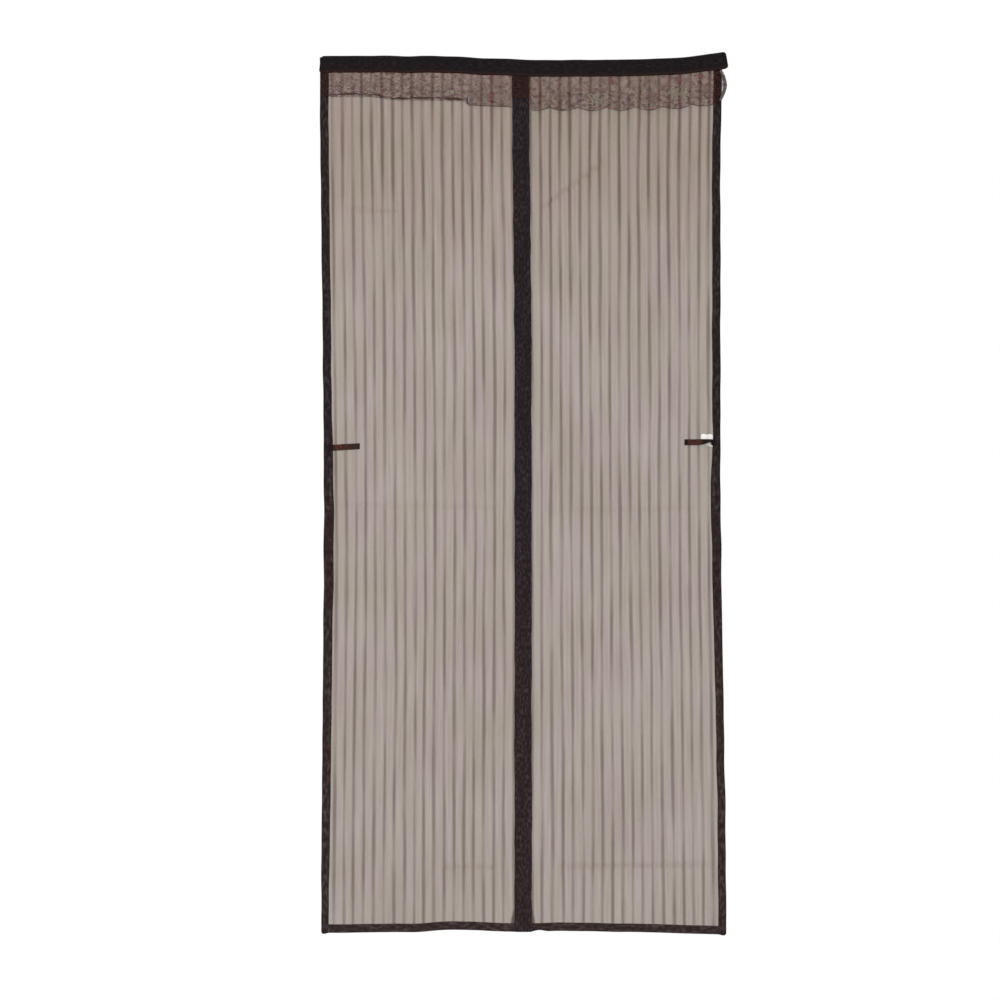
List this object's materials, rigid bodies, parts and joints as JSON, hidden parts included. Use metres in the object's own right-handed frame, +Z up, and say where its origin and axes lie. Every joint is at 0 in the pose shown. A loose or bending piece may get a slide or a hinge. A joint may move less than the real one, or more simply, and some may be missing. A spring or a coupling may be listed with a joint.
{
  "type": "magnetic insect screen",
  "caption": "Magnetic insect screen for a doorway: striped mesh panels with ribbon edges, magnet bands that meet in the middle, a taped header with scalloped lace, and tie straps.",
  "frame": {"origin": "middle of the loop strip's back face, on the back of the header", "axes": "+Z up, +X to the right as seen from the front, +Y towards the door frame that the header is stuck to"},
  "size_m": [1.0206, 0.0192, 2.2147],
  "materials": {
    "header_tape": "black woven polyester tape",
    "loop_strip": "black looped pile",
    "mesh": "sheer brown polyester mesh with woven stripes",
    "tape": "dark brown woven ribbon",
    "band": "dark brown woven ribbon, slightly satin",
    "lace": "sheer brown lace",
    "strap": "dark red-brown ribbon",
    "pad": "black gripping pad",
    "tag": "plain white satin tag",
    "magnet": "matt flexible magnet"
  },
  "bodies": {
    "root": {"header_tape": "header_tape", "header_loop_strip": "loop_strip", "mesh_panel_left": "mesh", "mesh_panel_right": "mesh", "side_tape_left": "tape", "side_tape_right": "tape", "bottom_tape_left": "tape", "bottom_tape_right": "tape", "centre_band_front": "band", "centre_band_rear": "band", "magnet_front_01": "magnet", "magnet_front_02": "magnet", "magnet_front_03": "magnet", "magnet_front_04": "magnet", "magnet_front_05": "magnet", "magnet_front_06": "magnet", "magnet_front_07": "magnet", "magnet_front_08": "magnet", "magnet_front_09": "magnet", "magnet_front_10": "magnet", "magnet_rear_01": "magnet", "magnet_rear_02": "magnet", "magnet_rear_03": "magnet", "magnet_rear_04": "magnet", "magnet_rear_05": "magnet", "magnet_rear_06": "magnet", "magnet_rear_07": "magnet", "magnet_rear_08": "magnet", "magnet_rear_09": "magnet", "magnet_rear_10": "magnet", "lace_valance": "lace", "tie_strap_left": "strap", "tie_strap_right": "strap", "tie_pad_left": "pad", "tie_pad_right": "pad", "care_tag": "tag"}
  },
  "joints": []
}
